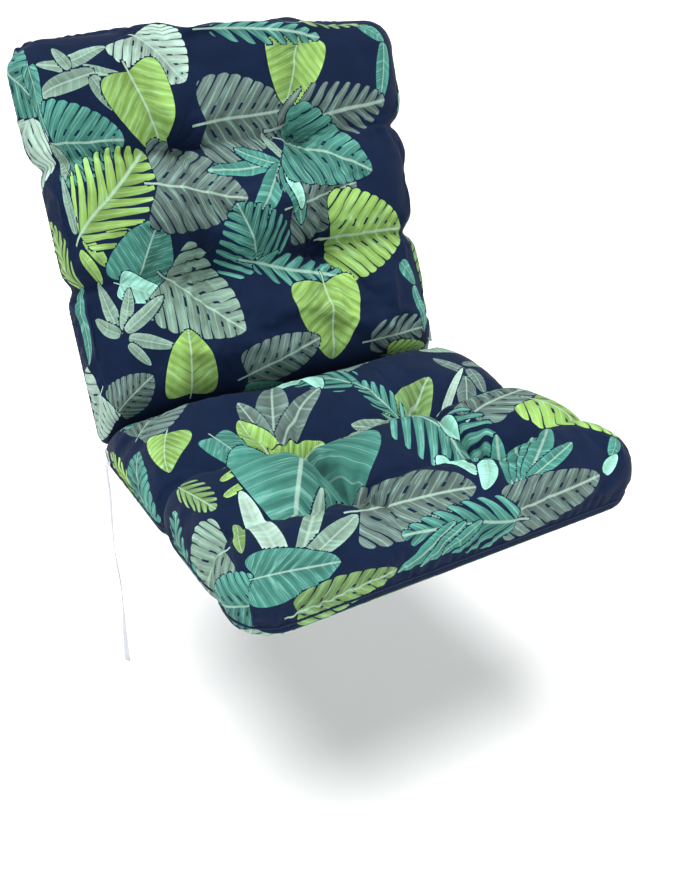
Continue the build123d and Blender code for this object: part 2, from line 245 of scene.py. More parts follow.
SEAT_LEAVES = (
    ("monstera", "grey", -250, 110, -160, 80, 0.46),
    ("fern", "teal", -260, 60, -160, 40, 0.30),
    ("oval", "lime", -215, 150, -250, 215, 0.42),
    ("oval", "grey", 50, 97, 160, 43, 0.20),
    ("fern", "teal", 45, 152, -50, 36, 0.30),
    ("strap", "mint", 15, 73, -55, 128, 0.16),
    ("strap", "mint", 15, 73, -5, 155, 0.16),
    ("strap", "grey", -103, 216, -52, 108, 0.18),
    ("strap", "grey", -103, 216, -5, 152, 0.12),
    ("strap", "grey", -106, 214, -110, 128, 0.17),
    ("oval", "lime", -112, 236, -124, 158, 0.32),
    ("oval", "lime", -108, 233, -44, 232, 0.40),
    ("strap", "lime", -190, 262, -128, 240, 0.14),
    ("strap", "lime", -208, 302, -166, 287, 0.15),
    ("strap", "lime", -217, 331, -184, 321, 0.18),
    ("oval", "teal", -168, 182, -142, 248, 0.38),
    ("oval", "teal", -82, 254, -174, 402, 0.52),
    ("strap", "pale", -218, 484, -200, 332, 0.085),
    ("strap", "sage", -203, 480, -118, 358, 0.065),
    ("strap", "sage", -192, 480, -116, 432, 0.17),
    ("oval", "teal", -256, 478, -156, 498, 0.42),
    ("monstera", "green", -205, 545, -92, 533, 0.25),
    ("monstera", "grey", -110, 428, 18, 456, 0.52),
    ("oval", "sage", 70, 252, 0, 223, 0.24),
    ("oval", "sage", 70, 252, -40, 275, 0.17),
    ("oval", "green", 66, 234, 150, 178, 0.26),
    ("strap", "grey", 202, 189, 186, 136, 0.17),
    ("strap", "grey", 195, 198, 160, 256, 0.20),
    ("strap", "grey", 212, 183, 204, 232, 0.20),
    ("strap", "grey", 212, 170, 256, 170, 0.18),
    ("strap", "pale", 105, 262, 205, 178, 0.04),
    ("fern", "teal", 142, 276, 256, 240, 0.22),
    ("monstera", "grey", 118, 316, 256, 277, 0.24),
    ("fern", "teal", 54, 274, 82, 426, 0.42),
    ("strap", "mint", 69, 341, 102, 278, 0.20),
    ("strap", "mint", 76, 294, 74, 248, 0.26),
    ("strap", "mint", 34, 365, 26, 440, 0.16),
    ("strap", "mint", 59, 417, 26, 464, 0.20),
    ("strap", "teal", 62, 468, 124, 356, 0.11),
    ("strap", "teal", 70, 467, 134, 378, 0.12),
    ("strap", "teal", 78, 465, 158, 380, 0.11),
    ("strap", "teal", 82, 467, 176, 386, 0.11),
    ("strap", "teal", 86, 470, 170, 434, 0.13),
    ("strap", "teal", 80, 476, 132, 484, 0.14),
    ("monstera", "lime", 206, 325, 256, 440, 0.40),
    ("monstera", "grey", 52, 512, 186, 505, 0.34),
    ("fern", "teal", 60, 524, -82, 490, 0.26),
    ("strap", "teal", -18, 500, -90, 540, 0.12),
    ("strap", "teal", -4, 506, -64, 540, 0.13),
    ("strap", "teal", 16, 511, -36, 536, 0.13),
    ("strap", "teal", 243, 444, 214, 480, 0.28),
    ("strap", "mint", 196, 506, 224, 480, 0.26),
    ("strap", "green", -226, 370, -248, 426, 0.16),
    ("fern", "teal", 76, 222, 48, 146, 0.26),
    ("fern", "green", -255, 260, -235, 340, 0.30),
    ("oval", "sage", 200, 90, 250, 130, 0.36),
    ("fern", "teal", 190, 40, 262, 70, 0.30),
    ("monstera", "sage", -60, 25, 10, 30, 0.40),
)


# ---- Sizes, colours and settings ---------------------------------------------------------------
class CushionSizes(bpy.types.PropertyGroup):
    width: FloatProperty(
        name="Width", description="Across the seat", default=0.533, unit="LENGTH", min=0.3
    )
    loft: FloatProperty(
        name="Loft", description="Thickness at the crown of a band", default=0.100,
        unit="LENGTH", min=0.04,
    )
    crease: FloatProperty(
        name="Crease depth", description="Depth of a crease below the crowns", default=0.037,
        unit="LENGTH", min=0.0,
    )
    tuft_x: FloatProperty(
        name="Tuft offset", description="From the centre line to a tuft", default=0.090,
        unit="LENGTH", min=0.01,
    )
    tuft_depth: FloatProperty(
        name="Tuft depth", description="Depth of a tuft below its crease", default=0.036,
        unit="LENGTH", min=0.0,
    )
    mesh_step: FloatProperty(
        name="Mesh step", description="Distance between mesh lines before subdivision",
        default=0.0052, unit="LENGTH", min=0.003,
    )
    pressure: FloatProperty(
        name="Fill pressure", description="Pressure of the fill on the cloth", default=4.0,
        min=0.0,
    )
    swell: FloatProperty(
        name="Largest swell", description="How far the fill may push the cloth out",
        default=0.008, unit="LENGTH", min=0.0,
    )
    frames: IntProperty(
        name="Frames", description="Frames of cloth simulation", default=20, min=2
    )


class PrintColours(bpy.types.PropertyGroup):
    ground: FloatVectorProperty(
        name="Ground", description="Navy ground of the print", subtype="COLOR",
        default=(0.0030, 0.0100, 0.0330),
    )
    teal: FloatVectorProperty(
        name="Teal", description="Teal leaves", subtype="COLOR", default=(0.062, 0.245, 0.200)
    )
    mint: FloatVectorProperty(
        name="Mint", description="Mint leaves", subtype="COLOR", default=(0.31, 0.66, 0.54)
    )
    sage: FloatVectorProperty(
        name="Sage", description="Sage leaves", subtype="COLOR", default=(0.210, 0.330, 0.260)
    )
    grey: FloatVectorProperty(
        name="Grey", description="Grey-green leaves", subtype="COLOR",
        default=(0.115, 0.172, 0.155),
    )
    pale: FloatVectorProperty(
        name="Pale", description="Palest leaves", subtype="COLOR", default=(0.39, 0.55, 0.46)
    )
    lime: FloatVectorProperty(
        name="Lime", description="Lime leaves", subtype="COLOR", default=(0.27, 0.47, 0.110)
    )
    green: FloatVectorProperty(
        name="Green", description="Mid-green leaves", subtype="COLOR",
        default=(0.19, 0.335, 0.110),
    )


class TrimSizes(bpy.types.PropertyGroup):
    tape_width: FloatProperty(
        name="Tape width", description="Width of the tie tape", default=0.010, unit="LENGTH"
    )
    tape: FloatProperty(
        name="Tape thickness", description="Thickness of the tie tape", default=0.0012,
        unit="LENGTH",
    )
    seam: FloatProperty(
        name="Seam ridge", description="Radius of the rolled edge seam", default=0.0014,
        unit="LENGTH",
    )
    twine: FloatProperty(
        name="Twine", description="Radius of the tufting twine", default=0.001, unit="LENGTH"
    )
    tape_colour: FloatVectorProperty(
        name="Tape colour", description="Pale grey tape", subtype="COLOR",
        default=(0.47, 0.48, 0.52),
    )
    label_colour: FloatVectorProperty(
        name="Label colour", description="White satin label", subtype="COLOR",
        default=(0.78, 0.78, 0.75),
    )


class StageSettings(bpy.types.PropertyGroup):
    floor_drop: FloatProperty(
        name="Floor drop", description="From the seat's underside down to the floor",
        default=0.42, unit="LENGTH",
    )
    lens: FloatProperty(
        name="Lens", description="Focal length", default=36.7, unit="CAMERA"
    )
    key_strength: FloatProperty(
        name="Key light", description="Strength of the main soft light", default=4.0, min=0.0
    )
    floor_colour: FloatVectorProperty(
        name="Floor colour", description="Pale floor", subtype="COLOR",
        default=(0.86, 0.86, 0.86),
    )


# ---- Small tools for nodes ---------------------------------------------------------------------
class Field:
    """A number that varies over the cloth. Arithmetic on it adds math nodes to its tree."""

    def __init__(self, tree, socket):
        self.tree = tree
        self.socket = socket

    def math(self, operation, *others):
        node = self.tree.nodes.new("ShaderNodeMath")
        node.operation = operation
        for place, value in enumerate((self, *others)):
            if isinstance(value, Field):
                self.tree.links.new(value.socket, node.inputs[place])
            else:
                node.inputs[place].default_value = value
        return Field(self.tree, node.outputs[0])

    def __add__(self, other):
        return self.math("ADD", other)

    def __sub__(self, other):
        return self.math("SUBTRACT", other)

    def __mul__(self, other):
        return self.math("MULTIPLY", other)

    def __truediv__(self, other):
        return self.math("DIVIDE", other)

    def __rsub__(self, other):
        return (self * -1.0) + other

    __radd__ = __add__
    __rmul__ = __mul__


class FieldTools:
    """The functions that leaf_parts needs, made of nodes."""

    size = staticmethod(lambda a: a.math("ABSOLUTE"))
    power = staticmethod(lambda a, b: a.math("POWER", b))
    fraction = staticmethod(lambda a: a.math("FRACT"))
    least = staticmethod(lambda a, b: a.math("MINIMUM", b))
    most = staticmethod(lambda a, b: a.math("MAXIMUM", b))

    @staticmethod
    def above(a, b):
        if isinstance(a, Field):
            return a.math("GREATER_THAN", b)
        return b.math("LESS_THAN", a)


class ArrayTools:
    """The same functions for arrays."""

    size = staticmethod(np.abs)
    power = staticmethod(np.power)
    fraction = staticmethod(lambda a: a - np.floor(a))
    above = staticmethod(lambda a, b: (a > b) * 1.0)
    least = staticmethod(np.minimum)
    most = staticmethod(np.maximum)


def leaf_parts(u, v, width, ribs, cut, start, slant, skew, tools):
    """Where a leaf's cloth is: u runs from base to tip and v across, in leaf lengths."""
    across = tools.size(v)
    lobed = u + LOBE * across
    along = tools.least(tools.most(lobed, 0.001), 0.999)
    turned = tools.power(along, skew)
    half = width * tools.power(turned * (1.0 - turned) * 4.0, 0.52) + 0.0005
    reach = across / half
    gap = tools.size(tools.fraction(ribs * (u - slant * across)) - 0.5) * 2.0
    notch = tools.most(reach - start, 0.0) / (1.0 - start) * cut
    whole = tools.above(1.001 - notch, gap)
    tip = tools.above(1.0 - cut * gap * gap * 0.35, reach)
    ends = tools.above(lobed, 0.0) * tools.above(1.0, lobed)
    holes = (
        tools.above(gap, 0.80)
        * tools.above(0.075, tools.size(reach - 0.24))
        * tools.above(start, 0.2)
        * tools.above(cut, 0.1)
    )
    blade = whole * tip * ends * (1.0 - holes)
    stem = (
        tools.above(0.011, across) * tools.above(u, -0.14) * tools.above(0.95, u)
        * tools.above(ribs, 0.5)
    )
    return tools.most(blade, stem), stem, reach, gap


def new_material(name):
    """An empty node material with its Principled shader and its output linked."""
    made = bpy.data.materials.new(name)
    made.use_nodes = True
    tree = made.node_tree
    tree.nodes.clear()
    shader = tree.nodes.new("ShaderNodeBsdfPrincipled")
    output = tree.nodes.new("ShaderNodeOutputMaterial")
    tree.links.new(shader.outputs["BSDF"], output.inputs["Surface"])
    return made, tree, shader


def attribute(tree, name, output="Vector"):
    node = tree.nodes.new("ShaderNodeAttribute")
    node.attribute_name = name
    return node.outputs[output]


def parts_of(tree, vector):
    node = tree.nodes.new("ShaderNodeSeparateXYZ")
    tree.links.new(vector, node.inputs[0])
    return [Field(tree, socket) for socket in node.outputs]


def vector_of(tree, *fields):
    node = tree.nodes.new("ShaderNodeCombineXYZ")
    for place, field in enumerate(fields):
        if isinstance(field, Field):
            tree.links.new(field.socket, node.inputs[place])
        else:
            node.inputs[place].default_value = field
    return node.outputs[0]


def noise(tree, vector, scale, detail=2.0):
    node = tree.nodes.new("ShaderNodeTexNoise")
    node.inputs["Scale"].default_value = scale
    node.inputs["Detail"].default_value = detail
    tree.links.new(vector, node.inputs["Vector"])
    return Field(tree, node.outputs["Fac"])


def mixed(tree, share, first, second):
    """Colour between first and second, each a colour or a socket."""
    node = tree.nodes.new("ShaderNodeMix")
    node.data_type = "RGBA"
    tree.links.new(share.socket, node.inputs["Factor"])
    for place, value in (("A", first), ("B", second)):
        socket = [s for s in node.inputs if s.name == place and s.type == "RGBA"][0]
        if isinstance(value, bpy.types.NodeSocket):
            tree.links.new(value, socket)
        else:
            socket.default_value = (*value, 1.0)
    return [s for s in node.outputs if s.type == "RGBA"][0]


def scaled(tree, colour, amount):
    """Colour times an amount."""
    node = tree.nodes.new("ShaderNodeVectorMath")
    node.operation = "SCALE"
    tree.links.new(colour, node.inputs[0])
    tree.links.new(amount.socket, node.inputs["Scale"])
    return node.outputs[0]


def bumped(tree, shader, height, distance, strength=1.0):
    node = tree.nodes.new("ShaderNodeBump")
    node.inputs["Strength"].default_value = strength
    node.inputs["Distance"].default_value = distance
    tree.links.new(height.socket, node.inputs["Height"])
    tree.links.new(node.outputs[0], shader.inputs["Normal"])


def object_place(tree):
    return tree.nodes.new("ShaderNodeTexCoord").outputs["Object"]


def weave(tree, cloth, pitch):
    """Height of a plain weave with threads pitch apart."""
    across, along, _ = parts_of(tree, cloth)
    turn = math.pi / pitch
    return (across * turn).math("SINE") * (along * turn).math("SINE")


def printed_cloth(colours):
    """Navy polyester with the leaf print."""
    made, tree, shader = new_material("leaf_print_cloth")
    u, v, _ = parts_of(tree, attribute(tree, "leaf"))
    width, ribs, cut = parts_of(tree, attribute(tree, "leaf_form"))
    start, slant, skew = parts_of(tree, attribute(tree, "leaf_cut"))
    tint = attribute(tree, "leaf_tint", "Color")
    seed = Field(tree, attribute(tree, "leaf_seed", "Fac"))
    cloth = attribute(tree, "cloth")
    inside, stem, reach, gap = leaf_parts(
        u, v, width, ribs, cut, start, slant, skew, FieldTools
    )
    across = v.math("ABSOLUTE")
    streaks = noise(tree, vector_of(tree, u * 5.0, (u - slant * across) * 26.0, seed), 1.0, 3.0)
    patches = noise(tree, vector_of(tree, u * 2.6, v * 5.0, seed), 1.0, 2.0)
    has_ribs = ribs.math("GREATER_THAN", 0.5)
    rib_line = (gap * -9.0 + 1.0).math("MAXIMUM", 0.0) * has_ribs
    midrib = (across * -70.0 + 1.3).math("MAXIMUM", 0.0).math("MINIMUM", 1.0)
    side = (v * 30.0).math("TANH")
    shade = (
        (reach.math("MINIMUM", 1.0) * 0.34 + 0.60)
        * (1.0 - gap * gap * has_ribs * 0.30)
        * (side * 0.12 + 1.0)
        * (streaks * 0.9 + 0.55)
        * (patches * 0.8 + 0.60)
    )
    leaf = scaled(tree, tint, shade)
    light = ((streaks - 0.55) * 5.0).math("MAXIMUM", 0.0).math("MINIMUM", 1.0) * 0.35
    leaf = mixed(tree, light, leaf, colours.mint)
    leaf = mixed(tree, rib_line * 0.30, leaf, colours.pale)
    leaf = mixed(tree, midrib.math("MAXIMUM", stem) * 0.55, leaf, colours.pale)
    dye = noise(tree, cloth, 30.0, 3.0)
    ground = scaled(tree, vector_of(tree, *colours.ground), dye * 0.6 + 0.7)
    printed = mixed(tree, inside, ground, leaf)
    slubs = noise(tree, cloth, 700.0, 2.0)
    printed = scaled(tree, printed, slubs * 0.24 + 0.88)
    tree.links.new(printed, shader.inputs["Base Color"])
    shader.inputs["Roughness"].default_value = 0.78
    shader.inputs["Specular IOR Level"].default_value = 0.08
    shader.inputs["Sheen Weight"].default_value = 0.02
    shader.inputs["Sheen Roughness"].default_value = 0.5
    bumped(tree, shader, weave(tree, cloth, 0.0011) * 0.5 + slubs, 0.0002, 0.6)
    return made


def plain_cloth(name, colour, roughness, scale, pitch, depth):
    """Unprinted textile: a colour that varies, with a woven surface."""
    made, tree, shader = new_material(name)
    place = object_place(tree)
    tone = noise(tree, place, scale, 3.0)
    fibres = noise(tree, place, scale * 12.0, 2.0)
    colour = scaled(tree, vector_of(tree, *colour), tone * 0.5 + fibres * 0.3 + 0.6)
    tree.links.new(colour, shader.inputs["Base Color"])
    shader.inputs["Roughness"].default_value = roughness
    shader.inputs["Specular IOR Level"].default_value = 0.15
    shader.inputs["Sheen Weight"].default_value = 0.04
    across, along, upright = parts_of(tree, place)
    turn = math.pi / pitch
    threads = ((across + along) * turn).math("SINE") * (upright * turn).math("SINE")
    bumped(tree, shader, threads * 0.5 + fibres, depth, 0.7)
    return made


def shared_material(name, make, *values):
    return bpy.data.materials.get(name) or make(*values)


def navy_thread(settings):
    ground = settings.ground
    return shared_material(
        "navy_thread", plain_cloth, "navy_thread", tuple(ground), 0.85, 120.0, 0.0006, 0.0001
    )


def tape_cloth(trim):
    return shared_material(
        "pale_tape", plain_cloth, "pale_tape", tuple(trim.tape_colour), 0.75, 60.0, 0.0007,
        0.00015,
    )


# ---- Shape of a section ------------------------------------------------------------------------
def rounded(parts, radius):
    """Signed distances of overlapping volumes joined with rounded edges."""
    stack = np.stack(np.broadcast_arrays(*parts))
    outer = np.sqrt((np.maximum(stack + radius, 0.0) ** 2).sum(0))
    return np.minimum(stack.max(0), -radius) + outer


def smooth(value):
    value = np.clip(value, 0.0, 1.0)
    return value * value * (3.0 - 2.0 * value)


def tufts(section, sizes):
    return [(side * sizes.tuft_x, row) for row in section["rows"] for side in (-1.0, 1.0)]


def beside_line(x, s, x0, s0, x1, s1):
    """Distance from a line, and how far along it as a share of its length."""
    line = np.array([x1 - x0, s1 - s0])
    span = float(np.hypot(*line))
    along = ((x - x0) * line[0] + (s - s0) * line[1]) / span ** 2
    off = np.abs((x - x0) * line[1] - (s - s0) * line[0]) / span
    return off, along


def crown_height(x, s, section, sizes):
    """Height of the sitter's side above the rest face."""
    near, far = section["rows"]
    last = (far + section["length"]) / 2
    first = near * 0.42
    band = np.where(
        s < near,
        np.clip((s - first) / (near - first), 0.0, 1.0),
        np.where(
            s < far,
            np.abs(s - (near + far) / 2) / ((far - near) / 2),
            np.clip((last - s) / (last - far), 0.0, 1.0),
        ),
    )
    share = np.where(s < (near + far) / 2, section["crease"][0], section["crease"][1])
    edge = np.abs(x) / (sizes.width / 2)
    depth = sizes.crease * share * (0.75 + 0.25 * np.exp(-((np.abs(x) - 0.06) / 0.10) ** 2))
    height = sizes.loft - depth * band ** 2.6 - EDGE_FALL * edge ** 3
    rng = np.random.default_rng(section["seed"])
    for _ in range(WAVES):
        wave = rng.uniform(18.0, 46.0, 2) * rng.choice((-1.0, 1.0), 2)
        height = height + WAVE_HEIGHT * np.sin(x * wave[0] + s * wave[1] + rng.uniform(0, 6.3))
    for number, (tuft_x, row) in enumerate(tufts(section, sizes)):
        away = np.hypot(x - tuft_x, s - row)
        angle = np.arctan2(s - row, x - tuft_x)
        height = height - sizes.tuft_depth * np.exp(-away / TUFT_REACH)
        fold = np.cos(angle * 6.0 + 1.7 * number) + 0.6 * np.cos(angle * 11.0 + number)
        height = height + 0.0034 * fold * np.exp(-(((away - 0.026) / 0.022) ** 2))
    for x0, s0, x1, s1, deep, wide in section["pleats"]:
        off, along = beside_line(x, s, x0, s0, x1, s1)
        taper = smooth((along + 0.12) / 0.2) * smooth((1.15 - along) / 0.4)
        height = height - deep * taper * np.exp(-off / wide)
    return height


def half_width(s, section, sizes):
    """Half the width at a distance from the fold, drawn in at each crease."""
    half = sizes.width / 2 + section["head"] * smooth((s - section["rows"][1]) / 0.012 + 0.5)
    for row, share in zip(section["rows"], section["crease"]):
        half = half - 0.009 * share * np.exp(-(((s - row) / 0.013) ** 2))
    return half - CLOTH_INSET


def outside(x, s, t, section, sizes):
    """Signed distance-like value: below zero inside the section."""
    length = section["length"]
    belly = BELLY * ((t - 0.050) / 0.050) ** 2
    sides = [np.abs(x) - half_width(s, section, sizes) + belly]
    ends = [s - length + CLOTH_INSET + belly]
    plan = np.maximum(
        rounded(sides + ends, CORNER_RADIUS),
        rounded(sides + [FOLD_GAP - s], FOLD_CORNER_RADIUS),
    )
    slope = (t - FOLD_HEIGHT) * math.cos(BEVEL_ANGLE) - s * math.sin(BEVEL_ANGLE)
    top = rounded([t - crown_height(x, s, section, sizes), slope], BEVEL_RADIUS)
    dimple = sum(
        DIMPLE[0] * np.exp(-(((x - a) ** 2 + (s - b) ** 2) / DIMPLE[1] ** 2))
        for a, b in tufts(section, sizes)
    )
    seam = 0.0016 * np.exp(-(((t - SEAM_HEIGHT) / 0.003) ** 2))
    soft = 0.010 + 0.034 * smooth((s - 0.01) / 0.09)
    upper = rounded([top, plan], soft)
    lower = rounded([dimple - t, plan], REST_EDGE_RADIUS)
    return np.maximum(upper, lower) + seam * smooth((s - 0.010) / 0.01)


def spaced(low, high, step, dense):
    """Mesh lines from low to high, closer together beside each place in dense."""
    fine = np.linspace(low, high, 2000)
    weight = 1.0 + sum(0.9 * np.exp(-(((fine - place) / 0.022) ** 2)) for place in dense)
    total = np.concatenate([[0.0], np.cumsum((weight[1:] + weight[:-1]) / 2)])
    count = int(round((high - low) / step * weight.mean()))
    return np.interp(np.linspace(0.0, total[-1], count + 1), total, fine)


def lattice(xs, ss, ts):
    """Outer vertices and faces of a box of mesh lines, with each face's side of the box."""
    counts = (len(xs), len(ss), len(ts))
    quads, sides = [], []
    for axis in range(3):
        first, second = [a for a in range(3) if a != axis]
        i, j = np.meshgrid(
            np.arange(counts[first] - 1), np.arange(counts[second] - 1), indexing="ij"
        )
        i, j = i.ravel(), j.ravel()
        for end in (0, counts[axis] - 1):
            corners = []
            for di, dj in ((0, 0), (1, 0), (1, 1), (0, 1)):
                place = np.zeros((len(i), 3), int)
                place[:, axis] = end
                place[:, first] = i + di
                place[:, second] = j + dj
                corners.append(place)
            quad = np.stack(corners, 1)
            if (end == 0) == (axis == 1):
                quad = quad[:, ::-1]
            quads.append(quad)
            sides.append(np.full(len(i), 2 * axis + (end > 0)))
    quads = np.concatenate(quads)
    sides = np.concatenate(sides)
    key = (quads[..., 0] * counts[1] + quads[..., 1]) * counts[2] + quads[..., 2]
    _, first_seen, faces = np.unique(key.ravel(), return_index=True, return_inverse=True)
    places = quads.reshape(-1, 3)[first_seen]
    points = np.stack([xs[places[:, 0]], ss[places[:, 1]], ts[places[:, 2]]], 1)
    return points, faces.reshape(-1, 4), sides


def cloth_places(corners, sides, section, sizes):
    """Place on the unrolled cloth of each face corner, before the box is rounded."""
    half = sizes.width / 2 + section["head"]
    x, s, t = corners[..., 0], corners[..., 1], corners[..., 2]
    down = sizes.loft - t
    side = sides[:, None] + 0 * t
    u = np.where(side == 0, -half - down, np.where(side == 1, half + down, x))
    v = np.where(side == 2, -down, np.where(side == 3, section["length"] + down, s))
    rest = side == 4
    return np.stack([np.where(rest, x + 2.0, u), np.where(rest, s + 2.0, v)], -1)


def section_mesh(section, sizes):
    """Points (x, s, t), faces and cloth places of a cushion section before its simulation."""
    half = sizes.width / 2 + section["head"]
    step = sizes.mesh_step
    xs = spaced(-half, half, step, (-sizes.tuft_x, sizes.tuft_x))
    ss = spaced(0.004, section["length"], step, section["rows"])
    ts = np.linspace(0.0, sizes.loft, int(round(sizes.loft / step)) + 1)
    box, faces, sides = lattice(xs, ss, ts)
    cloth = cloth_places(box[faces], sides, section, sizes)
    inset = 0.050
    core = np.stack(
        [
            np.clip(box[:, 0], inset - half, half - inset),
            np.clip(box[:, 1], inset + 0.01, section["length"] - inset),
            np.full(len(box), 0.040),
        ],
        1,
    )
    ray = box - core
    ray *= 1.35
    near, far = np.zeros(len(box)), np.ones(len(box))
    for _ in range(22):
        middle = (near + far) / 2
        point = core + ray * middle[:, None]
        out = outside(point[:, 0], point[:, 1], point[:, 2], section, sizes) > 0
        far = np.where(out, middle, far)
        near = np.where(out, near, middle)
    return core + ray * near[:, None], faces, cloth


def to_world(points, section):
    origin, along, up = section["frame"]
    x, s, t = points[:, 0:1], points[:, 1:2], points[:, 2:3]
    return origin + x * ACROSS + s * along + t * up


def to_section(points, section):
    origin, along, up = section["frame"]
    away = points - origin
    return np.stack([away[:, 0], away @ along, away @ up], 1)


def coordinates(mesh):
    found = np.zeros(len(mesh.vertices) * 3)
    mesh.vertices.foreach_get("co", found)
    return found.reshape(-1, 3)


def place_vertices(mesh, points):
    mesh.vertices.foreach_set("co", np.ascontiguousarray(points, dtype=np.float32).ravel())
    mesh.update()


def mesh_object(name, points, faces, materials=()):
    mesh = bpy.data.meshes.new(name)
    mesh.from_pydata([tuple(p) for p in points], [], [tuple(map(int, f)) for f in faces])
    for used in materials:
        mesh.materials.append(used)
    mesh.validate()
    mesh.shade_smooth()
    made = bpy.data.objects.new(name, mesh)
    bpy.context.scene.collection.objects.link(made)
    return made


def near_place(distance, place):
    """One beside a place that holds the cloth, falling to zero at its reach."""
    reach, fade = HELD[place]
    return smooth((reach - distance) / fade)


def inflate(made, section, sizes):
    """Presses the cloth out with the fill, held at tufts, creases, seam and rest face."""
    rest = coordinates(made.data)
    local = to_section(rest, section)
    x, s, t = local.T
    held = np.maximum(near_place(t, "rest face"), near_place(s, "fold"))
    for tuft_x, row in tufts(section, sizes):
        held = np.maximum(held, near_place(np.hypot(x - tuft_x, s - row), "tuft"))
    for row, share in zip(section["rows"], section["crease"]):
        held = np.maximum(held, share * near_place(np.abs(s - row), "crease"))
    for x0, s0, x1, s1, deep, _ in section["pleats"]:
        off, along = beside_line(x, s, x0, s0, x1, s1)
        inside = smooth((along + 0.1) / 0.2) * smooth((1.1 - along) / 0.3)
        share = min(1.0, deep / FULLY_HELD_PLEAT) * inside
        held = np.maximum(held, share * near_place(off, "pleat"))
    group = made.vertex_groups.new(name="held")
    for level in range(1, 11):
        chosen = np.nonzero(np.round(held * 10).astype(int) == level)[0]
        if len(chosen):
            group.add(chosen.tolist(), level / 10, "REPLACE")
    added = made.modifiers.new("Fill", "CLOTH")
    cloth = added.settings
    cloth.quality = 5
    cloth.mass = 0.25
    cloth.use_pressure = True
    cloth.uniform_pressure_force = sizes.pressure
    cloth.shrink_min = -0.035
    cloth.tension_stiffness = 18.0
    cloth.compression_stiffness = 18.0
    cloth.shear_stiffness = 6.0
    cloth.bending_stiffness = 0.15
    cloth.vertex_group_mass = "held"
    cloth.effector_weights.gravity = 0.0
    added.collision_settings.use_collision = False
    added.point_cache.frame_start = 1
    added.point_cache.frame_end = sizes.frames
    scene = bpy.context.scene
    for frame_number in range(1, sizes.frames + 1):
        scene.frame_set(frame_number)
    graph = bpy.context.evaluated_depsgraph_get()
    result = made.evaluated_get(graph).to_mesh()
    moved = coordinates(result) - rest
    made.evaluated_get(graph).to_mesh_clear()
    made.modifiers.remove(added)
    made.vertex_groups.clear()
    scene.frame_set(1)
    length = np.linalg.norm(moved, axis=1, keepdims=True)
    limit = sizes.swell * np.tanh(length / sizes.swell) / np.maximum(length, 1e-9)
    place_vertices(made.data, rest + moved * limit)


def subdivided(made):
    """Applies one level of subdivision."""
    added = made.modifiers.new("Fine", "SUBSURF")
    added.levels = 1
    added.render_levels = 1
    graph = bpy.context.evaluated_depsgraph_get()
    fine = bpy.data.meshes.new_from_object(made.evaluated_get(graph))
    made.modifiers.remove(added)
    old = made.data
    made.data = fine
    bpy.data.meshes.remove(old)
    fine.name = made.name
    fine.shade_smooth()


def vertex_normals(mesh):
    found = np.zeros(len(mesh.vertices) * 3)
    mesh.vertex_normals.foreach_get("vector", found)
    return found.reshape(-1, 3)


def pucker(made, section, sizes):
    """Small gathers beside the edge seam and round each tuft."""
    points = coordinates(made.data)
    x, s, t = to_section(points, section).T
    rng = np.random.default_rng(section["seed"] + 20)
    edge = np.where(s > section["length"] - 0.05, x, s)
    wander = 0.006 * np.sin(edge * 37.0 + 1.0) + 0.004 * np.sin(edge * 71.0)
    ripple = np.sin((edge + wander) * 2 * math.pi / SEAM_PITCH)
    ripple += 0.5 * np.sin((edge - wander) * 2 * math.pi / (SEAM_PITCH * 0.61) + 1.0)
    beside = np.exp(-(((t - 0.025) / 0.012) ** 2)) * smooth((t - SEAM_HEIGHT) / 0.004)
    beside *= smooth((s - 0.03) / 0.03)
    push = 0.0010 * ripple * beside
    for tuft_x, row in tufts(section, sizes):
        away = np.hypot(x - tuft_x, s - row)
        angle = np.arctan2(s - row, x - tuft_x)
        phase = rng.uniform(0, 6.3, 2)
        gathers = np.cos(angle * 9.0 + phase[0]) + 0.7 * np.cos(angle * 14.0 + phase[1])
        strength = np.exp(-(((away - 0.020) / 0.016) ** 2)) * (t > SEAM_HEIGHT * 2)
        push += 0.0009 * gathers * strength
    place_vertices(made.data, points + vertex_normals(made.data) * push[:, None])


def scattered(count, low, high, rng):
    """Leaves spread evenly over a rectangle of cloth, for faces that lie against the chair."""
    kinds = ("monstera", "oval", "fern", "monstera", "strap")
    colours = ("grey", "teal", "sage", "lime", "teal", "pale", "green")
    widths = {"monstera": 0.5, "oval": 0.45, "fern": 0.34, "strap": 0.16}
    centres, leaves = [], []
    for _ in range(count * 40):
        if len(leaves) == count:
            break
        centre = rng.uniform(low, high)
        if any(np.hypot(*(centre - other)) < 72.0 for other in centres):
            continue
        centres.append(centre)
        kind = kinds[rng.integers(len(kinds))]
        angle, length = rng.uniform(0, 6.3), rng.uniform(85.0, 118.0)
        reach = length / 2 * np.array([math.cos(angle), math.sin(angle)])
        colour = colours[rng.integers(len(colours))]
        leaves.append((kind, colour, *(centre - reach), *(centre + reach), widths[kind]))
    return leaves


def all_leaves(section, drawn, sizes):
    """The drawn leaves of the sitter's side, with scattered ones on the other faces."""
    rng = np.random.default_rng(section["seed"] + 50)
    half = (sizes.width / 2 + section["head"]) * 1000
    length = section["length"] * 1000
    rest = scattered(60, (2000 - half, 2000), (2000 + half, 2000 + length), rng)
    left = scattered(9, (-half - 75, 40), (-half - 35, length - 20), rng)
    right = scattered(9, (half + 35, 40), (half + 75, length - 20), rng)
    return rest + left + right + list(drawn)


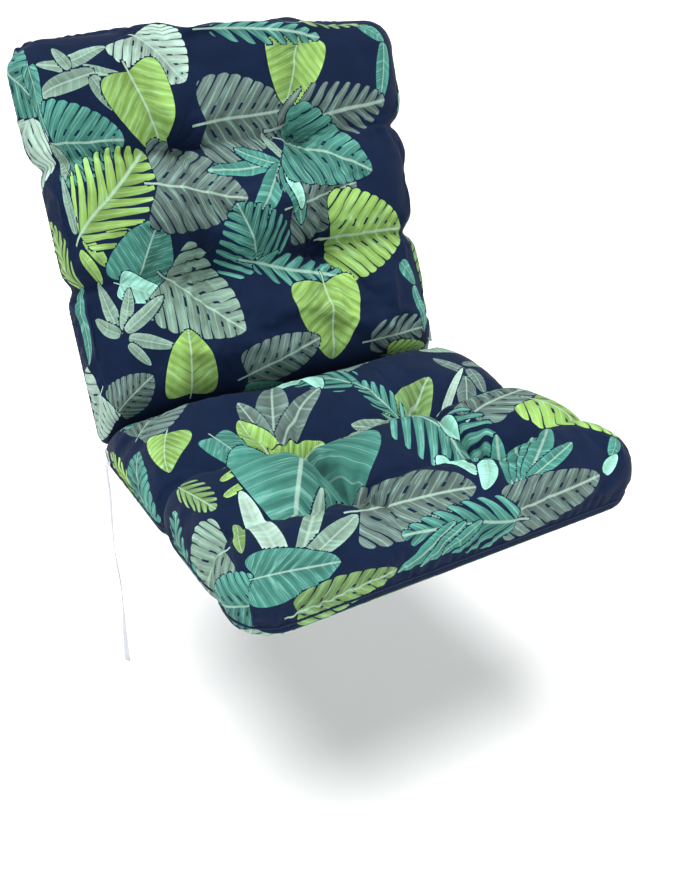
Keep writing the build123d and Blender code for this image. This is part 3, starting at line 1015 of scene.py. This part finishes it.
def draw_print(made, section, drawn, sizes, colours):
    """Gives each face the leaf that covers it, and each corner its place on that leaf."""
    mesh = made.data
    corner_count = len(mesh.loops)
    cloth = np.zeros(corner_count * 2)
    mesh.uv_layers["cloth"].data.foreach_get("uv", cloth)
    cloth = cloth.reshape(-1, 4, 2)
    face_count = len(cloth)
    leaf = np.full((face_count, 4, 3), -5.0)
    form = np.tile([0.1, 1.0, 0.0], (face_count, 1))
    cut = np.tile([0.9, 0.5, 0.8], (face_count, 1))
    tint = np.tile([*colours.ground, 1.0], (face_count, 1))
    seed = np.zeros(face_count)
    tested = np.concatenate([cloth, cloth.mean(1, keepdims=True)], 1)
    for number, entry in enumerate(all_leaves(section, drawn, sizes)):
        kind, colour = entry[:2]
        width = entry[6]
        base, tip = np.array(entry[2:4]) * MM, np.array(entry[4:6]) * MM
        length = float(np.hypot(*(tip - base)))
        along = (tip - base) / length
        across = np.array([-along[1], along[0]])
        middle = tested[:, 4] - (base + tip) / 2
        near = np.nonzero(np.hypot(*middle.T) < length * (0.66 + width))[0]
        away = tested[near] - base
        u = away @ along / length
        v = away @ across / length
        ribs, share, start, slant, skew = KINDS[kind]
        if kind == "fern":
            ribs = max(5.0, round(ribs * length / 0.13))
        inside = leaf_parts(u, v, width, ribs, share, start, slant, skew, ArrayTools)[0]
        chosen = inside.max(1) > 0.5
        picked = near[chosen]
        leaf[picked, :, 0] = u[chosen][:, :4]
        leaf[picked, :, 1] = v[chosen][:, :4]
        form[picked] = (width, ribs, share)
        cut[picked] = (start, slant, skew)
        tint[picked, :3] = getattr(colours, colour)
        seed[picked] = number * 3.7
    corner_place = np.concatenate([cloth, np.zeros((face_count, 4, 1))], 2)
    for name, data_type, domain, values in (
        ("leaf", "FLOAT_VECTOR", "CORNER", leaf),
        ("cloth", "FLOAT_VECTOR", "CORNER", corner_place),
        ("leaf_form", "FLOAT_VECTOR", "FACE", form),
        ("leaf_cut", "FLOAT_VECTOR", "FACE", cut),
        ("leaf_tint", "FLOAT_COLOR", "FACE", tint),
        ("leaf_seed", "FLOAT", "FACE", seed),
    ):
        if name == "cloth":
            mesh.uv_layers.remove(mesh.uv_layers["cloth"])
        stored = mesh.attributes.new(name, data_type, domain)
        field = {"FLOAT_VECTOR": "vector", "FLOAT_COLOR": "color", "FLOAT": "value"}[data_type]
        stored.data.foreach_set(field, values.astype(np.float32).ravel())


def cushion(name, section, drawn, context):
    """A stuffed section in printed cloth."""
    sizes, colours = context.scene.cushion_sizes, context.scene.print_colours
    points, faces, cloth = section_mesh(section, sizes)
    used = shared_material("leaf_print_cloth", printed_cloth, colours)
    made = mesh_object(name, to_world(points, section), faces, [used])
    layer = made.data.uv_layers.new(name="cloth")
    layer.data.foreach_set("uv", cloth.astype(np.float32).ravel())
    inflate(made, section, sizes)
    subdivided(made)
    pucker(made, section, sizes)
    draw_print(made, section, drawn, sizes, colours)
    return made


# ---- Small pieces ------------------------------------------------------------------------------
def ring_faces(rings, ring, start=0, turned=False):
    """Faces along a row of rings of points, and then the caps of its two ends."""
    faces = []
    for number in range(rings - 1):
        here, there = start + number * ring, start + (number + 1) * ring
        for k in range(ring):
            m = (k + 1) % ring
            faces.append((here + k, here + m, there + m, there + k))
    faces.append(tuple(start + k for k in range(ring))[::-1])
    faces.append(tuple(start + (rings - 1) * ring + k for k in range(ring)))
    if turned:
        faces = [(face[0], *face[:0:-1]) for face in faces]
    return faces


def tube(name, lines, radius, used, ring, wave):
    """Round threads along lines of points, joined in one mesh."""
    points, faces = [], []
    for line in lines:
        line = np.asarray(line, float)
        count = len(line)
        tangent = np.roll(line, -1, 0) - np.roll(line, 1, 0)
        tangent[0], tangent[-1] = line[1] - line[0], line[-1] - line[-2]
        tangent /= np.linalg.norm(tangent, axis=1, keepdims=True)
        helper = np.array([0.31, 0.17, 0.93])
        first = np.cross(tangent, helper)
        first /= np.linalg.norm(first, axis=1, keepdims=True)
        second = np.cross(tangent, first)
        start = len(points)
        angles = np.arange(ring) * 2 * math.pi / ring
        for number in range(count):
            size = radius * (1.0 + wave * (number % 2))
            for angle in angles:
                points.append(
                    line[number] + size * (math.cos(angle) * first[number]
                                           + math.sin(angle) * second[number])
                )
        faces += ring_faces(count, ring, start)
    return mesh_object(name, points, faces, [used])


def surface_of(made):
    return BVHTree.FromObject(made, bpy.context.evaluated_depsgraph_get())


def cast(surface, section, start, direction):
    """Point and normal where a line inside a section, given in x, s, t, meets its cloth."""
    origin = to_world(np.array([start]), section)[0]
    heading = to_world(np.array([direction]), section)[0] - section["frame"][0]
    point, normal, _, _ = surface.ray_cast(Vector(origin), Vector(heading).normalized())
    if point is None:
        raise RuntimeError(f"no cloth found from {start}")
    return np.array(point), np.array(normal)


def edge_line(section, sizes):
    """Plan points and outward directions along the edge seam, from fold to fold."""
    half, length = sizes.width / 2, section["length"]
    s_values = np.arange(0.026, length - 0.055, 0.003)
    turn = np.linspace(0.0, math.pi / 2, 20)
    reach = 0.05
    line = [((-(half - reach), s), (-1.0, 0.0)) for s in s_values]
    line += [
        ((-(half - reach), length - reach), (-math.cos(a), math.sin(a))) for a in turn
    ]
    for x in np.arange(-(half - reach) + 0.003, half - reach, 0.003):
        line.append(((x, length - reach), (0.0, 1.0)))
    line += [
        ((half - reach, length - reach), (math.cos(a), math.sin(a))) for a in turn[::-1]
    ]
    line += [((half - reach, s), (1.0, 0.0)) for s in s_values[::-1]]
    return line


def threads(name, lines, radius, slot, context, ring=6, wave=0.0):
    """Tubes of navy thread; the slot is not used."""
    made = tube(name, lines, radius, navy_thread(context.scene.print_colours), ring, wave)
    return made


def edge_seam(name, cushion_name, section, context):
    """Rolled seam between the sitter's side and the rest side, with its stitches."""
    sizes, trim = context.scene.cushion_sizes, context.scene.trim_sizes
    surface = surface_of(bpy.data.objects[cushion_name])
    line = []
    for (x, s), (dx, ds) in edge_line(section, sizes):
        point, _ = cast(surface, section, (x, s, SEAM_HEIGHT), (dx, ds, 0.0))
        line.append(point)
    return threads(name, [line], trim.seam, "thread", context, wave=0.22)


def tuft_twine(name, cushion_name, section, context):
    """Crossed loops of twine at the floor of each tuft."""
    sizes, trim = context.scene.cushion_sizes, context.scene.trim_sizes
    surface = surface_of(bpy.data.objects[cushion_name])
    lines = []
    for number, (x, row) in enumerate(tufts(section, sizes)):
        low, _ = cast(surface, section, (x, row, 0.030), (0.0, 0.0, 1.0))
        _, along, up = section["frame"]
        for turn in (0.5 + number, 2.1 + number):
            sweep = np.linspace(0.0, math.pi, 9)
            flat = math.cos(turn) * ACROSS + math.sin(turn) * along
            lines.append([
                low + flat * 0.0030 * math.cos(a) + up * (0.0024 * math.sin(a) - 0.0006)
                for a in sweep
            ])
    return threads(name, lines, trim.twine, "twine", context, ring=8)


def tuft_knots(name, section, context):
    """Knots with short tails in the dimples of the rest side."""
    sizes, trim = context.scene.cushion_sizes, context.scene.trim_sizes
    _, along, up = section["frame"]
    rng = np.random.default_rng(section["seed"] + 70)
    lines = []
    for x, row in tufts(section, sizes):
        centre = to_world(np.array([[x, row, 0.0040]]), section)[0]
        sweep = np.linspace(0.0, 4.4 * math.pi, 34)
        lines.append([
            centre + 0.0019 * (math.cos(a) * ACROSS + math.sin(a) * along)
            + up * (0.0012 * math.sin(a * 1.5) - 0.0004)
            for a in sweep
        ])
        for angle in rng.uniform(0, 6.3, 2):
            heading = math.cos(angle) * ACROSS + math.sin(angle) * along
            lines.append([
                centre + heading * (0.0016 + 0.0100 * k) + up * (0.0010 * math.sin(k * 3) - 0.0012)
                for k in np.linspace(0.0, 1.0, 7)
            ])
    return threads(name, lines, trim.twine * 0.85, "twine", context, ring=8)


def strip(name, centres, sides, ups, half_width_m, half_depth, used):
    """A flat tape along centres, with rounded selvedges."""
    outline = []
    for sign in (1, -1):
        for across, depth in ((1.0, 0.45), (0.94, 1.0), (0.5, 0.82), (0.0, 0.88),
                              (-0.5, 0.82), (-0.94, 1.0), (-1.0, 0.45)):
            outline.append((sign * across, sign * depth))
    points = []
    for number, (centre, side, up) in enumerate(zip(centres, sides, ups)):
        thick = half_depth * (1.0 + 0.08 * math.sin(number * 1.3))
        for across, depth in outline:
            points.append(centre + side * across * half_width_m + up * depth * thick)
    faces = ring_faces(len(centres), len(outline))
    return mesh_object(name, points, faces, [used])


def ride_and_replace(made, body, *nodes):
    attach(made, body)
    if nodes:
        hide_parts(*nodes)


def build_section(body, section, drawn, context, *nodes):
    """A section and its edge seam, riding on their body."""
    ride_and_replace(cushion(f"{body}_cushion", section, drawn, context), body, *nodes)
    seam = edge_seam(f"{body}_edge_seam", f"{body}_cushion", section, context)
    ride_and_replace(seam, body)


# ---- Operators ---------------------------------------------------------------------------------
class BuildSeat(bpy.types.Operator):
    """Build the stuffed seat section"""

    bl_idname = "cushion.build_seat"
    bl_label = "Seat Section"

    def execute(self, context):
        build_section(
            "seat", SEAT, SEAT_LEAVES, context,
            "seat_top_cover", "seat_underside_cover", "seat_fill", "seat_seam_allowance",
        )
        return {"FINISHED"}


class BuildBack(bpy.types.Operator):
    """Build the stuffed back section"""

    bl_idname = "cushion.build_back"
    bl_label = "Back Section"

    def execute(self, context):
        build_section(
            "back", BACK, BACK_LEAVES, context,
            "back_front_cover", "back_rear_cover", "back_fill", "back_seam_allowance",
        )
        return {"FINISHED"}


class BuildTufts(bpy.types.Operator):
    """Build the tufting twine and its knots"""

    bl_idname = "cushion.build_tufts"
    bl_label = "Tufts"

    def execute(self, context):
        for body, section in (("seat", SEAT), ("back", BACK)):
            twine = tuft_twine(f"{body}_tuft_twine", f"{body}_cushion", section, context)
            ride_and_replace(twine, body, f"{body}_tuft_threads")
            knots = tuft_knots(f"{body}_tuft_ties", section, context)
            ride_and_replace(knots, body, f"{body}_tuft_knots")
        return {"FINISHED"}


class BuildFold(bpy.types.Operator):
    """Build the cloth that joins the two sections"""

    bl_idname = "cushion.build_fold"
    bl_label = "Fold"

    def execute(self, context):
        sizes = context.scene.cushion_sizes
        reach, inset, half_depth = 0.013, 0.020, 0.0013
        seat_along, back_along = SEAT["frame"][1], BACK["frame"][1]
        seat_up, back_up = SEAT["frame"][2], BACK["frame"][2]
        middle = np.array(FOLD)
        away = np.linspace(-reach, reach, 15)
        profile = []
        for distance in away:
            along = seat_along if distance < 0 else back_along
            up = seat_up if distance < 0 else back_up
            share = smooth(abs(distance) / 0.004)
            normal = up * share + (seat_up + back_up) / np.linalg.norm(seat_up + back_up) * (
                1 - share)
            profile.append((middle + along * abs(distance), normal / np.linalg.norm(normal)))
        half = sizes.width / 2 - inset
        xs = np.arange(-half, half + 0.001, 0.003)
        points = []
        for number, x in enumerate(xs):
            gather = 0.0003 * math.sin(number * 1.9) + 0.0003 * math.sin(number * 0.7)
            for side in (1.0, -1.0):
                line = profile if side > 0 else profile[::-1]
                for place, normal in line:
                    near = 1.0 - smooth(np.linalg.norm(place - middle) / 0.004)
                    depth = half_depth * (1.0 - 0.55 * near)
                    points.append(x * ACROSS + place + normal * (side * depth + gather))
        faces = ring_faces(len(xs), 2 * len(profile), turned=True)
        used = navy_thread(context.scene.print_colours)
        made = mesh_object("fold_web", points, faces, [used])
        start = middle + seat_along * 0.008
        end = middle + back_along * 0.008
        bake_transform(made)
        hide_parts("fold_seam", "back_fold_web")
        return {"FINISHED"}


class BuildTie(bpy.types.Operator):
    """Build the tie tape and the two sewn anchors"""

    bl_idname = "cushion.build_tie"
    bl_label = "Tie Tape"

    def execute(self, context):
        trim = context.scene.trim_sizes
        used = tape_cloth(trim)
        low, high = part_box("tie_anchor_left")
        tie_y = (low[1] + high[1]) / 2
        face = -context.scene.cushion_sizes.width / 2
        curve = bpy.data.curves.new("tie_route", "CURVE")
        curve.dimensions = "3D"
        spline = curve.splines.new("NURBS")
        spline.points.add(len(CORD_POINTS) - 1)
        for point, (x, z) in zip(spline.points, CORD_POINTS):
            point.co = (face + x * MM, tie_y, low[2] + z * MM, 1.0)
        spline.order_u = 3
        spline.use_endpoint_u = True
        curve.resolution_u = 12
        holder = bpy.data.objects.new("tie_route", curve)
        context.scene.collection.objects.link(holder)
        context.view_layer.update()
        read = bpy.data.meshes.new_from_object(holder)
        path = coordinates(read)
        bpy.data.objects.remove(holder)
        bpy.data.meshes.remove(read)
        if path[0, 2] < path[-1, 2]:
            path = path[::-1]
        runs = np.linalg.norm(np.diff(path, axis=0), axis=1)
        total = float(runs.sum())
        tangents = np.gradient(path, axis=0)
        tangents /= np.linalg.norm(tangents, axis=1, keepdims=True)
        gone = np.concatenate([[0.0], np.cumsum(runs)]) / total
        sides, ups = [], []
        for tangent, share in zip(tangents, gone):
            turn = TAPE_TWIST * smooth(share) * math.sin(share * 4.0)
            level = np.array([0.0, 1.0, 0.0])
            other = np.cross(tangent, level)
            other /= np.linalg.norm(other)
            sides.append(level * math.cos(turn) + other * math.sin(turn))
            ups.append(other * math.cos(turn) - level * math.sin(turn))
        tape = strip(
            "tie_tape", path, sides, ups, trim.tape_width / 2, trim.tape / 2, used
        )
        ride_and_replace(tape, "seat", "tie_tape_left")
        surface = surface_of(bpy.data.objects["seat_cushion"])
        for side, name in ((-1.0, "left"), (1.0, "right")):
            self.anchor(context, surface, side, name, tie_y, used)
        return {"FINISHED"}

    def anchor(self, context, surface, side, name, tie_y, used):
        """A short end of tape sewn flat to the cushion's side, with a stitched box."""
        trim = context.scene.trim_sizes
        low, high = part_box(f"tie_anchor_{name}")
        s = FOLD[1] - tie_y
        outward = ACROSS * side
        centres, sides, ups = [], [], []
        edge = side * (context.scene.cushion_sizes.width / 2 + trim.tape / 2)
        for height in np.linspace(low[2] - 0.002, high[2], 12):
            point, _ = cast(
                surface, SEAT, (side * 0.2, s, float(height)), (side, 0.0, 0.0)
            )
            share = smooth((height - low[2]) / 0.008)
            centre = np.array([
                (point[0] + side * 0.0007) * share + edge * (1 - share), tie_y, height
            ])
            centres.append(centre)
            sides.append(np.array([0.0, 1.0, 0.0]))
            ups.append(outward)
        made = strip(
            f"tie_anchor_tape_{name}", centres, sides, ups, trim.tape_width / 2 + 0.001,
            trim.tape / 2, used,
        )
        ride_and_replace(made, "seat", f"tie_anchor_{name}")
        box_lines = []
        frame_z = (low[2] + 0.009, high[2] - 0.002)
        corners = [
            (-0.0035, frame_z[0]), (0.0035, frame_z[0]), (0.0035, frame_z[1]),
            (-0.0035, frame_z[1]), (-0.0035, frame_z[0]), (0.0035, frame_z[1]),
            (0.0035, frame_z[0]), (-0.0035, frame_z[1]),
        ]
        heights = np.array([c[2] for c in centres])
        across = np.array([c[0] for c in centres])
        for (y0, z0), (y1, z1) in zip(corners, corners[1:]):
            count = max(2, int(math.hypot(y1 - y0, z1 - z0) / 0.0026))
            for k in range(count):
                ends = []
                for share in ((k + 0.12) / count, (k + 0.88) / count):
                    z = z0 + (z1 - z0) * share
                    x = float(np.interp(z, heights, across)) + side * trim.tape * 0.52
                    ends.append(np.array([x, tie_y + y0 + (y1 - y0) * share, z]))
                box_lines.append(ends)
        stitches = threads(
            f"tie_anchor_stitches_{name}", box_lines, 0.00028, "thread", context, ring=5
        )
        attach(stitches, "seat")


class BuildTrim(bpy.types.Operator):
    """Build the closing stitches and the blank label on the back's right side"""

    bl_idname = "cushion.build_trim"
    bl_label = "Closing and Label"

    def execute(self, context):
        surface = surface_of(bpy.data.objects["back_cushion"])
        lines = []
        for number in range(STITCHES):
            s = CLOSING_PLACE + (number - (STITCHES - 1) / 2) * STITCH_PITCH
            line = []
            for k in np.linspace(-1.0, 1.0, 7):
                place = (0.2, s + 0.0020 * k, SEAM_HEIGHT + 0.0030 * k)
                point, _ = cast(surface, BACK, place, (1.0, 0.0, 0.0))
                line.append(point + ACROSS * (0.0022 * (1 - k * k) - 0.0002))
            lines.append(line)
        stitches = threads("slot_stitches", lines, 0.0005, "thread", context)
        ride_and_replace(stitches, "back", "closing_stitches")
        rows, columns = 13, 9
        grid = []
        for i in range(rows):
            for j in range(columns):
                t = SEAM_HEIGHT + 0.001 + LABEL_HEIGHT * i / (rows - 1)
                s = LABEL_PLACE + LABEL_WIDTH * (j / (columns - 1) - 0.5)
                point, _ = cast(surface, BACK, (0.2, s, min(t, 0.046)), (1.0, 0.0, 0.0))
                lift = 0.0012 + 0.0022 * (i / (rows - 1)) ** 2
                lift += 0.0005 * math.sin(j * 0.9 + i * 0.5)
                base = to_world(np.array([[0.0, s, t]]), BACK)[0]
                grid.append(base + ACROSS * (point[0] + lift))
        half = ACROSS * LABEL_HALF_THICKNESS
        points = [p + half for p in grid] + [p - half for p in grid]
        size = rows * columns
        faces = []
        for i in range(rows - 1):
            for j in range(columns - 1):
                a = i * columns + j
                quad = (a, a + 1, a + columns + 1, a + columns)
                faces.append(quad[::-1])
                faces.append(tuple(size + k for k in quad))
        rim = list(range(columns))
        rim += [i * columns + columns - 1 for i in range(1, rows)]
        rim += [(rows - 1) * columns + j for j in range(columns - 2, -1, -1)]
        rim += [i * columns for i in range(rows - 2, 0, -1)]
        for a, b in zip(rim, rim[1:] + rim[:1]):
            faces.append((a, b, size + b, size + a))
        trim = context.scene.trim_sizes
        used = shared_material(
            "blank_satin", plain_cloth, "blank_satin", tuple(trim.label_colour), 0.4, 40.0,
            0.0005, 0.00005,
        )
        label = mesh_object("care_label_blank", points, faces, [used])
        ride_and_replace(label, "back", "care_label")
        return {"FINISHED"}


class BuildStage(bpy.types.Operator):
    """Build the floor, the lights and the camera"""

    bl_idname = "cushion.build_stage"
    bl_label = "Stage"

    def execute(self, context):
        settings = context.scene.stage_settings
        made, tree, shader = new_material("floor_paint")
        tone = noise(tree, object_place(tree), 3.0)
        colour = scaled(tree, vector_of(tree, *settings.floor_colour), tone * 0.04 + 0.98)
        tree.links.new(colour, shader.inputs["Base Color"])
        shader.inputs["Roughness"].default_value = 0.9
        turns = np.linspace(0.0, 2 * math.pi, FLOOR_SIDES, endpoint=False)
        points = [
            (radius * math.cos(a), radius * math.sin(a), rise - settings.floor_drop)
            for radius, rise in FLOOR_RINGS for a in turns
        ]
        faces = ring_faces(len(FLOOR_RINGS), FLOOR_SIDES, turned=True)[:-1]
        floor = mesh_object("floor", points, faces, [made])
        world = bpy.data.worlds.new("studio")
        world.use_nodes = True
        background = world.node_tree.nodes["Background"]
        background.inputs["Color"].default_value = SKY_COLOUR
        background.inputs["Strength"].default_value = SKY_STRENGTH
        context.scene.world = world
        for name, source, share, spread in LIGHTS:
            light = bpy.data.lights.new(name, "SUN")
            light.energy = settings.key_strength * share
            light.angle = math.radians(spread)
            holder = bpy.data.objects.new(name, light)
            holder.rotation_euler = Vector(source).to_track_quat("Z", "Y").to_euler()
            context.scene.collection.objects.link(holder)
        self.camera(context, settings)
        context.scene.view_settings.view_transform = "Standard"
        return {"FINISHED"}

    def camera(self, context, settings):
        """The camera in front of the cushion, to its left and above it."""
        azimuth, elevation, roll = (math.radians(a) for a in CAMERA_ANGLES)
        back = Vector((
            math.sin(azimuth) * math.cos(elevation),
            -math.cos(azimuth) * math.cos(elevation),
            math.sin(elevation),
        ))
        right = (-back).cross(Vector((0, 0, 1))).normalized()
        up = right.cross(-back)
        turned = right * math.cos(roll) + up * math.sin(roll)
        data = bpy.data.cameras.new("camera")
        data.lens = settings.lens
        data.sensor_width = SENSOR_WIDTH
        data.shift_x = 0.008
        data.clip_end = 100.0
        camera = bpy.data.objects.new("camera", data)
        columns = (turned, back.cross(turned), back)
        turn = Matrix([list(column) for column in columns]).transposed()
        place = Matrix.Translation(Vector(CAMERA_TARGET) + back * CAMERA_DISTANCE)
        camera.matrix_world = place @ turn.to_4x4()
        context.scene.collection.objects.link(camera)
        context.scene.camera = camera


class CushionPanel(bpy.types.Panel):
    """Lists the cushion's settings and pieces"""

    bl_idname = "VIEW3D_PT_cushion"
    bl_label = "Tufted Cushion"
    bl_space_type = "VIEW_3D"
    bl_region_type = "UI"
    bl_category = "Cushion"

    def draw(self, context):
        for group in ("cushion_sizes", "print_colours", "trim_sizes", "stage_settings"):
            settings = getattr(context.scene, group)
            box = self.layout.box()
            for name in settings.bl_rna.properties.keys():
                if name not in ("rna_type", "name"):
                    box.prop(settings, name)
        for operator in OPERATORS:
            self.layout.operator(operator.bl_idname)


GROUPS = {
    "cushion_sizes": CushionSizes,
    "print_colours": PrintColours,
    "trim_sizes": TrimSizes,
    "stage_settings": StageSettings,
}
OPERATORS = (BuildSeat, BuildBack, BuildTufts, BuildFold, BuildTie, BuildTrim, BuildStage)


def register():
    for name, group in GROUPS.items():
        bpy.utils.register_class(group)
        setattr(bpy.types.Scene, name, PointerProperty(type=group))
    for operator in OPERATORS:
        bpy.utils.register_class(operator)
    bpy.utils.register_class(CushionPanel)


def unregister():
    bpy.utils.unregister_class(CushionPanel)
    for operator in reversed(OPERATORS):
        bpy.utils.unregister_class(operator)
    for name, group in reversed(GROUPS.items()):
        delattr(bpy.types.Scene, name)
        bpy.utils.unregister_class(group)


def main():
    register()
    bpy.ops.cushion.build_seat()
    bpy.ops.cushion.build_back()
    bpy.ops.cushion.build_tufts()
    bpy.ops.cushion.build_fold()
    bpy.ops.cushion.build_tie()
    bpy.ops.cushion.build_trim()
    bpy.ops.cushion.build_stage()


if __name__ == "__main__":
    main()
